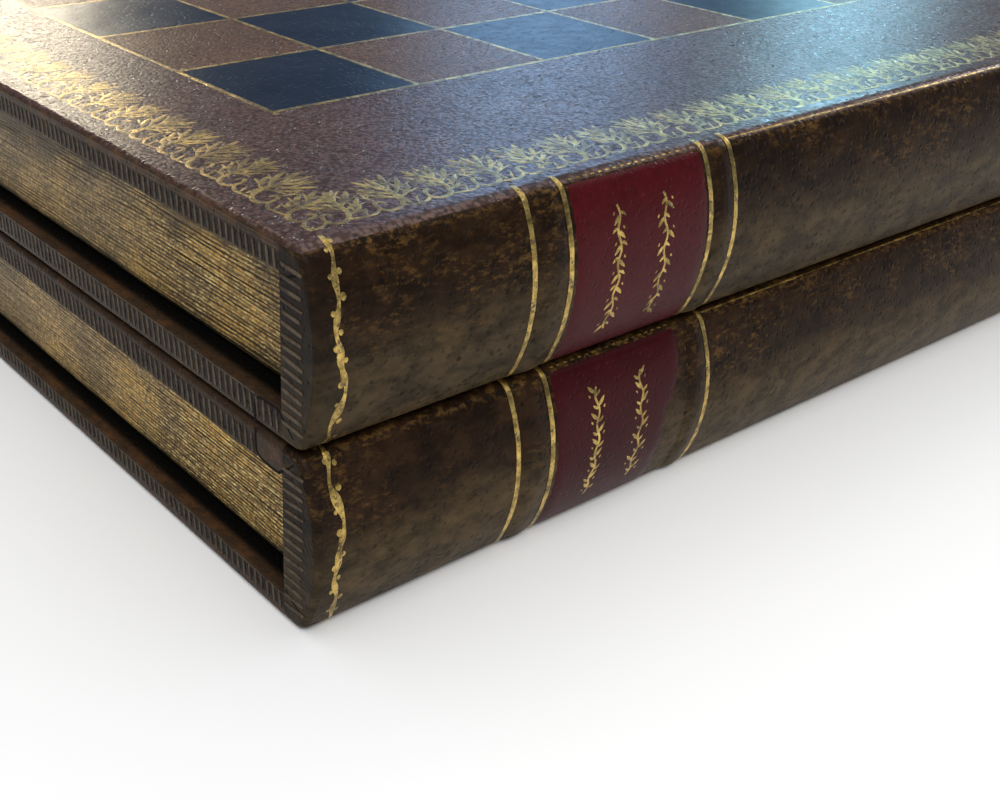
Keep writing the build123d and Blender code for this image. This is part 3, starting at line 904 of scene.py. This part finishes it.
class TOOLING_OT_chess_board_spine_gold(bpy.types.Operator):
    """Tools the gold lines, the vine and the label ornament on the spines"""

    bl_idname = "chess_board.spine_gold"
    bl_label = "Spine Gold"

    def execute(self, context):
        half = context.scene.chess_board_tooling.fillet_width / 2 / MM
        for book in BOOKS:
            lines = self.fillets(book, half) + self.vine() + self.milled_lines()
            self.lay(lines, book, "spine_gold", 0.04 * MM, 0.12, 5, "brown_leather")
            self.lay(self.ornament(), book, "label_gold", 0.25 * MM, 0.1, 2, "red_leather")
        return {"FINISHED"}

    def lay(self, lines, book, name, lift, height, detail, slot):
        """Draws gold lines, placed in millimetres from the left end, and bends them onto the spine."""
        placed = [[(LEFT_END / MM + x, s, half) for x, s, half in line] for line in lines]
        bm = drawn(placed, height, detail)
        wrap_on_spine(bm, lift)
        settle(bm, book, name, "gold")

    def fillets(self, book, half):
        """Gold lines across the spine, on both sides of the bands; one is almost lost on the lower book."""
        lines = []
        for place in (*FILLETS, *(BOOK_LENGTH - place for place in FILLETS)):
            if book == "lower" and place == LOST_FILLET:
                x = place + 1.4
                lines += [[(x, s, 0.2), (x, s + 1, 0.5), (x, s + 2, 0.2)] for s in (9.2, 12.8, 16.4)]
                continue
            line = []
            for s in evenly(-22.6, 22.6, 30):
                width = half * (1 + 0.16 * chance(s * 0.5, place))
                line.append((place + 0.1 * chance(place, s * 0.1), s, width))
            lines.append(line)
        return lines

    def vine(self):
        """A waving vine with buds, near each end of the spine; its ends bend over the arrises."""
        wave = [
            (5.4, 22.6, 0.4), (5.7, 20.6, 0.36), (5.5, 19.0, 0.9), (5.2, 17.2, 0.42), (4.6, 15.2, 0.3),
            (4.5, 13.4, 0.4), (5.1, 11.6, 1.0), (5.6, 9.6, 0.95), (6.1, 7.6, 0.4), (6.2, 5.6, 0.26),
            (5.6, 3.4, 0.85), (5.0, 1.6, 0.34), (4.6, -0.2, 0.8), (4.7, -2.0, 0.75), (4.1, -4.0, 0.36),
            (3.9, -5.8, 0.5), (4.5, -7.8, 0.85), (5.2, -9.8, 0.3), (5.4, -11.8, 0.4), (5.2, -13.8, 0.8),
            (5.6, -16.0, 0.4), (6.1, -18.2, 0.3), (5.9, -20.2, 0.7), (6.2, -22.6, 0.5),
        ]
        beads = [
            (4.3, 21.8, 0.75), (4.7, 18.4, 0.6), (6.5, 17.6, 0.55), (6.1, 13.2, 0.7), (4.6, 8.8, 0.45),
            (5.0, 4.6, 0.75), (5.7, 0.0, 0.5), (3.8, -2.6, 0.7), (4.9, -5.2, 0.55), (3.7, -8.6, 0.5),
            (6.2, -11.0, 0.7), (4.4, -14.6, 0.5), (6.4, -15.2, 0.55), (5.1, -19.0, 0.45), (6.7, -20.6, 0.6),
        ]
        lines = []
        for side in (1, -1):
            start = 0 if side > 0 else BOOK_LENGTH
            lines.append([(start + side * x, s, half + 0.1 * chance(s * 0.7, side)) for x, s, half in wave])
            for x, s, size in beads:
                x = start + side * x
                middle = (x + 0.1 * side, s, 1.5 * size)
                lines.append([(x, s - size, 0.3 * size), middle, (x, s + size, 0.3 * size)])
        return lines

    def ornament(self):
        """Two leafy sprays along the label."""
        leaf_parts = (
            ((0, 0, 0.2), (0.9, 0.5, 0.72), (1.9, 1.7, 0.1)),
            ((0, -0.6, 0.14), (-0.8, -0.5, 0.55), (-1.5, 0.3, 0.1)),
            ((1.5, -0.8, 0.12), (1.7, -0.5, 0.34), (1.9, -0.2, 0.12)),
        )
        lines = []
        for column, turn in ((71.2, 1), (84.4, -1)):
            stem = []
            for s in evenly(13.2, -13.2, 26):
                stem.append((column + 0.5 * math.sin(s * 0.97), s, 0.28 + 0.1 * chance(s * 0.3, column)))
            lines.append(stem)
            for index in range(9):
                at = 12.1 - 2.9 * index
                side = turn if index % 2 else -turn
                stem_x = column + 0.5 * math.sin(at * 0.97)
                for part in leaf_parts:
                    lines.append([(stem_x + side * x, at + s, half) for x, s, half in part])
        return lines

    def milled_lines(self):
        """Along both arrises: short strokes at the labels, and from 107 mm to the right end a broken gold
        line, partly a gilt line and partly a painted highlight of the arris.
        """
        strokes = []
        for x in range(61, 97, 2):
            strokes.append([(x, 20.2, 0.12), (x + 0.5, 20.2, 0.28), (x + 1, 20.2, 0.12)])
        # Painted highlight along the arrises: a broken gold line from 107 mm to the right end, partly a gilt
        # line.
        worn = []
        for side in (-1, 1):
            steps = evenly(107, 395, 240)
            worn.append([(x, side * 20.1, max(0.03, 0.17 + 0.3 * chance(x * 0.21, side))) for x in steps])
        return strokes + worn + [[(x, -s, half) for x, s, half in stroke] for stroke in strokes]


class TOOLING_OT_chess_board_pages(bpy.types.Operator):
    """Builds the grooved and gilt page edges"""

    bl_idname = "chess_board.pages"
    bl_label = "Page Edges"

    def execute(self, context):
        pitch = context.scene.chess_board_tooling.page_pitch
        for book in BOOKS:
            for side in ("left", "right", "fore_edge"):
                low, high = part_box(f"lower_{side}_pages")
                bm = self.block(low, high, side, pitch)
                piece = settle(bm, book, f"{side}_page_edges", "pages")
                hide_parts(f"{book}_{side}_pages")
        return {"FINISHED"}

    def block(self, low, high, side, pitch):
        """A page block whose outer face is grooved, its top and bottom edges rounded."""
        height = high.z - low.z
        length = high.x - low.x if side == "fore_edge" else high.y - low.y
        count = round(height / pitch)
        radius, depth = 2.5 * MM, 0.22 * MM
        bm = bmesh.new()
        groove = bm.verts.layers.float.new("groove")
        bmesh.ops.create_grid(bm, x_segments=64, y_segments=count * 5, size=0.5)
        for vert in bm.verts:
            along, up = vert.co.x + 0.5, vert.co.y + 0.5
            z = height * up
            drop = max(0, radius - min(z, height - z))
            inset = radius - math.sqrt(max(0, radius**2 - drop**2))
            way = along * length / MM
            drift = 0.5 * chance(way * 0.004, z * 20) + 0.12 * chance(way * 0.03, z * 150)
            turns = count * up + drift * min(1, up * 8, (1 - up) * 8) * 2
            line = round(turns)
            deep = 0.35 + 0.65 * max(0, 0.5 + chance(line * 1.3, way * 0.012))
            faint = 0.2 if side == "fore_edge" else 0.5 * along
            cut = deep * (1 - faint) * math.cos(math.pi * (turns - line)) ** 4
            vert[groove] = cut
            out = -inset - cut * depth
            place = {
                "left": (low.x - out, low.y + along * length),
                "right": (high.x + out, low.y + along * length),
                "fore_edge": (low.x + along * length, high.y + out),
            }[side]
            vert.co = (*place, low.z + z)
        rim = [edge for edge in bm.edges if edge.is_boundary]
        grown = bmesh.ops.extrude_edge_only(bm, edges=rim)["geom"]
        for vert in grown:
            if isinstance(vert, bmesh.types.BMVert):
                if side == "left":
                    vert.co.x = high.x
                elif side == "right":
                    vert.co.x = low.x
                else:
                    vert.co.y = low.y
        bmesh.ops.holes_fill(bm, edges=[edge for edge in bm.edges if edge.is_boundary])
        bmesh.ops.recalc_face_normals(bm, faces=bm.faces)
        return bm


def to_end_face(bm, side):
    """Stands a flat drawing, X along the depth and Y up, against an end of the book."""
    for vert in bm.verts:
        along, up, out = vert.co
        vert.co = Vector((side * (HALF_LENGTH + out), along, up))
    if side < 0:
        bmesh.ops.reverse_faces(bm, faces=bm.faces)


class TOOLING_OT_chess_board_hatching(bpy.types.Operator):
    """Tools the ridges on the edges of the covers, the rims and the spine's ends"""

    bl_idname = "chess_board.hatching"
    bl_label = "Edge Hatching"

    def execute(self, context):
        tooling = context.scene.chess_board_tooling
        for book in BOOKS:
            lean = 7 if book == "lower" else -7
            bm = bmesh.new()
            for centre, tall in ((3.95 * MM, 1.7 * MM), (34.65 * MM, 2.1 * MM)):
                seam = RIM_SEAM if centre > LEDGE and book == "lower" else SPINE_SEAM
                start = seam + 0.4 * MM
                reach = BACK - 0.8 * MM - start
                for side in (-1, 1):
                    at = Vector((side * HALF_LENGTH, start, centre))
                    self.row(bm, at, Vector((0, 1, 0)), reach, tall, tooling.hatch_pitch, lean)
                at = Vector((LEFT_END + MM, BACK, centre))
                reach = 2 * HALF_LENGTH - 2 * MM
                self.row(bm, at, Vector((1, 0, 0)), reach, tall, tooling.hatch_pitch, lean)
            for side in (-1, 1):
                margin = 3.2 * MM
                at = Vector((side * HALF_LENGTH, SPINE_SEAM - 3.4 * MM, margin))
                reach = BOOK_HEIGHT - 2 * margin
                self.row(bm, at, Vector((0, 0, 1)), reach, 3.0 * MM, tooling.strip_pitch, -3)
                self.fine_lines(bm, side)
            settle(bm, book, "hatching", "ridge")
            settle(self.seams(), book, "seams", "seam")
        return {"FINISHED"}

    def fine_lines(self, bm, side):
        """Lines that run beside the rows on an end of the book, from a seam to its back; the two nearest the
        arris are painted glint lines.
        """
        # The lines at 1.0 and 1.9 mm are painted glint lines near the arris; those at 5.7 and 32.4 mm are
        # thin ridges.
        for up, half, seam in (
            (1.0, 0.1, SPINE_SEAM), (1.9, 0.07, SPINE_SEAM), (5.7, 0.15, SPINE_SEAM), (32.4, 0.15, RIM_SEAM)
        ):
            line = []
            for y in evenly(seam / MM, BACK / MM, 80):
                width = half * (1 + 0.6 * chance(y * 0.3, up))
                line.append((y, up + 0.08 * chance(y * 0.07, up), width))
            stroke = drawn([line], 0.3, 1)
            to_end_face(stroke, side)
            gather(bm, stroke)
            stroke.free()

    def row(self, bm, start, along, length, tall, pitch, lean):
        """A row of slender ridges across the way they follow."""
        ridge = bmesh.new()
        relief = 0.16 * MM
        bmesh.ops.create_cube(ridge, size=2)
        bmesh.ops.bevel(
            ridge, geom=ridge.edges, offset=0.3, segments=1, profile=0.5, affect="EDGES", material=-1
        )
        count = round(length / pitch)
        for index in range(count):
            at = start + along * (index + 0.5) * length / count
            thin = pitch * (0.17 if along.z else 0.14)
            thin *= 1 + 0.3 * chance(index * 1.7, start.z * 50, start.x * 3)
            long = tall * (1 + 0.14 * chance(index * 0.9, start.x * 7, start.z * 90))
            tilt = math.radians(lean + 5 * chance(index, start.x * 9, start.z * 99))
            if along.z:
                size, turn = (relief, long, thin), Matrix.Rotation(tilt, 4, "X")
            elif along.y:
                size, turn = (relief, thin, long), Matrix.Rotation(-tilt, 4, "X")
            else:
                size, turn = (thin, relief, long), Matrix.Rotation(tilt, 4, "Y")
            gather(bm, ridge, Matrix.Translation(at) @ turn @ Matrix.Diagonal((*size, 1)))
        ridge.free()

    def seams(self):
        """Dark lines at the mitres of the spine's ends and where the rim's leather is joined."""
        lines = [
            [(-112, 4.5, 0.2), (-109.5, 5.2, 0.3), (-106.3, 7.0, 0.3)],
            [(-109.6, 36.3, 0.2), (-107.4, 34.3, 0.3), (-104.8, 32.4, 0.3)],
            [
                (-97.2, 38.2, 0.35), (-97.3, 35.0, 0.35), (-97.6, 33.2, 0.35),
                (-99.4, 32.3, 0.3), (-105, 32.3, 0.3),
            ],
        ]
        seams = bmesh.new()
        for side in (-1, 1):
            bm = drawn(lines, 0.25, 3)
            to_end_face(bm, side)
            gather(seams, bm)
            bm.free()
        return seams


class TOOLING_OT_chess_board_trays(bpy.types.Operator):
    """Lines the trays and colours the points of the inner board"""

    bl_idname = "chess_board.trays"
    bl_label = "Trays"

    def execute(self, context):
        dress("lining", "floor_lining", "wall_lining")
        dress("cream", "light_points")
        dress("red", "dark_points")
        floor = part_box("lower_floor_lining")[1].z
        for book in BOOKS:
            bm = drawn(self.gilding(), 0.12, 1)
            bmesh.ops.translate(bm, vec=(0, 0, floor), verts=bm.verts)
            settle(bm, book, "tray_gold", "gold")
        return {"FINISHED"}

    def gilding(self):
        """Gold lines along the sides of the points, and a double frame in the middle of the tray."""
        low, high = [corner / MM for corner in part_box("lower_light_points")]
        gap, point_length = 1, 150.6
        pitch = (high.y - low.y + 2 * gap) / 6
        lines = []
        for side in (-1, 1):
            for index in range(6):
                centre = low.y - gap + (index + 0.5) * pitch
                for turn in (-1, 1):
                    base = (side * high.x, centre + turn * (pitch / 2 - gap))
                    tip = (side * (high.x - point_length), centre)
                    lines.append(self.ruled(base, tip, 12, 0.38))
        for half_width, margin, half in ((27, 3.2, 0.5), (24.6, 5.6, 0.24)):
            corners = [(-half_width, low.y + margin), (half_width, low.y + margin)]
            corners += [(half_width, high.y - margin), (-half_width, high.y - margin)]
            for first, second in zip(corners, corners[1:] + corners[:1]):
                lines.append(self.ruled(first, second, 16, half))
        return lines

    def ruled(self, start, end, count, half):
        """A straight hand-tooled line."""
        steps = [Vector(start).lerp(Vector(end), share) for share in evenly(0, 1, count)]
        return [(*at, uneven(half, at.x, at.y)) for at in steps]


class TOOLING_OT_chess_board_hinges(bpy.types.Operator):
    """Finishes the hinges in brass and steel"""

    bl_idname = "chess_board.hinges"
    bl_label = "Hinges"

    def execute(self, context):
        dress("brass", "hinge_leaves", "hinge_screws")
        give("steel", "hinge_pins")
        return {"FINISHED"}


class TOOLING_OT_chess_board_stage(bpy.types.Operator):
    """Sets up the floor, the light and the camera"""

    bl_idname = "chess_board.stage"
    bl_label = "Floor, Light and Camera"

    def execute(self, context):
        stage = context.scene.chess_board_stage
        self.camera(context)
        self.floor()
        self.room(context, stage)
        centre = Vector((0, 0, FOLD))
        lamps = (
            ("front_lamp", 215, 42, 1.8, (1.4, 0.9), stage.front, (1, 0.97, 0.92)),
            ("window_lamp", 44.5, 16, 2.42, (0.44, 0.38), stage.window, (0.34, 0.62, 1)),
            ("warm_lamp", 18.2, 14.6, 2.5, (0.26, 0.28), stage.lantern, (1, 0.88, 0.66)),
            ("low_window_lamp", 59, 15.6, 2.4, (0.22, 0.2), stage.low_window, (0.38, 0.78, 1)),
            ("side_lamp", 82, 20.5, 2.2, (0.24, 0.42), stage.side, (1, 0.95, 0.88)),
        )
        for lamp in lamps:
            self.lamp(centre, *lamp)
        context.scene.view_settings.view_transform = "Standard"
        return {"FINISHED"}

    def camera(self, context):
        """The photograph's viewpoint, found from the crossings of the gold lines."""
        data = bpy.data.cameras.new("camera")
        data.lens = 46.138
        data.sensor_width = 36
        data.shift_x = 0.14
        data.clip_start = 0.01
        data.clip_end = 50
        camera = bpy.data.objects.new("camera", data)
        camera.location = (-0.30706, -0.26888, 0.15546)
        camera.rotation_euler = [math.radians(angle) for angle in (61.18, -0.947, -37.044)]
        context.scene.collection.objects.link(camera)
        context.scene.camera = camera

    def floor(self):
        """A large pale floor, a hair below the lower cover."""
        bm = bmesh.new()
        bmesh.ops.create_grid(bm, x_segments=8, y_segments=8, size=10)
        bmesh.ops.translate(bm, vec=(0, 0, -0.1 * MM), verts=bm.verts)
        mesh = bpy.data.meshes.new("floor")
        bm.to_mesh(mesh)
        bm.free()
        finish = start_finish("floor")
        colour = finish.lit(finish.cloud(3, 3), (0.9, 0.9, 0.9), 0.99, 1.01)
        normal = finish.bump(finish.cloud(60, 2), 0.01 * MM)
        mesh.materials.append(finish.close(colour, 0.8, normal, gloss=0.2))
        floor = bpy.data.objects.new("floor", mesh)
        bpy.context.scene.collection.objects.link(floor)

    def room(self, context, stage):
        """A room, pale at the floor, dark at the walls and bright at the ceiling, on a pale background."""
        world = bpy.data.worlds.new("room")
        context.scene.world = world
        finish = Finish(world)
        place = finish.add("ShaderNodeTexCoord", output="Generated")
        height = finish.parts(place)[2]
        walls = (stage.walls * 0.45, stage.walls * 0.85, stage.walls * 1.5)
        ceiling = (stage.ceiling,) * 3
        stops = [(0.0, (0.9, 0.9, 0.9)), (0.045, (0.85, 0.85, 0.86)), (0.09, walls)]
        stops += [(0.5, walls), (0.76, ceiling), (1.0, ceiling)]
        colour = finish.add("ShaderNodeValToRGB", {"stops": stops}, {"Fac": height})
        seen = finish.add("ShaderNodeLightPath", output="Is Camera Ray")
        colour = finish.mix(seen, colour, (0.92, 0.92, 0.92))
        background = finish.add("ShaderNodeBackground", values={"Color": colour, "Strength": 1.0})
        finish.add("ShaderNodeOutputWorld", values={"Surface": background})

    def lamp(self, centre, name, bearing, rise, distance, size, power, colour):
        """A soft rectangular lamp that faces the object, its bearing counted from +Y towards +X."""
        data = bpy.data.lights.new(name, "AREA")
        data.shape = "RECTANGLE"
        data.size, data.size_y = size
        data.energy = power
        data.color = colour
        lamp = bpy.data.objects.new(name, data)
        turn, lift = math.radians(bearing), math.radians(rise)
        away = Vector((math.sin(turn) * math.cos(lift), math.cos(turn) * math.cos(lift), math.sin(lift)))
        lamp.location = centre + away * distance
        lamp.rotation_euler = away.to_track_quat("Z", "Y").to_euler()
        bpy.context.scene.collection.objects.link(lamp)


OPERATORS = (
    TOOLING_OT_chess_board_cover,
    TOOLING_OT_chess_board_lines,
    TOOLING_OT_chess_board_roll,
    TOOLING_OT_chess_board_spine,
    TOOLING_OT_chess_board_spine_gold,
    TOOLING_OT_chess_board_pages,
    TOOLING_OT_chess_board_hatching,
    TOOLING_OT_chess_board_trays,
    TOOLING_OT_chess_board_hinges,
    TOOLING_OT_chess_board_stage,
)


class VIEW3D_PT_chess_board(bpy.types.Panel):
    """Lists the steps that finish the chess board"""

    bl_label = "Chess Board"
    bl_idname = "VIEW3D_PT_chess_board"
    bl_space_type = "VIEW_3D"
    bl_region_type = "UI"
    bl_category = "Chess Board"

    def draw(self, context):
        for operator in OPERATORS:
            self.layout.operator(operator.bl_idname)
        for group in ("chess_board_colours", "chess_board_tooling", "chess_board_stage"):
            settings = getattr(context.scene, group)
            box = self.layout.box()
            for name in settings.bl_rna.properties.keys():
                if name not in ("rna_type", "name"):
                    box.prop(settings, name)


CLASSES = (ChessBoardColours, ChessBoardTooling, ChessBoardStage, *OPERATORS, VIEW3D_PT_chess_board)


def register():
    for cls in CLASSES:
        bpy.utils.register_class(cls)
    bpy.types.Scene.chess_board_colours = bpy.props.PointerProperty(type=ChessBoardColours)
    bpy.types.Scene.chess_board_tooling = bpy.props.PointerProperty(type=ChessBoardTooling)
    bpy.types.Scene.chess_board_stage = bpy.props.PointerProperty(type=ChessBoardStage)


def unregister():
    del bpy.types.Scene.chess_board_colours
    del bpy.types.Scene.chess_board_tooling
    del bpy.types.Scene.chess_board_stage
    for cls in reversed(CLASSES):
        bpy.utils.unregister_class(cls)


def main():
    register()
    for operator in OPERATORS:
        group, name = operator.bl_idname.split(".")
        getattr(getattr(bpy.ops, group), name)()


if __name__ == "__main__":
    main()
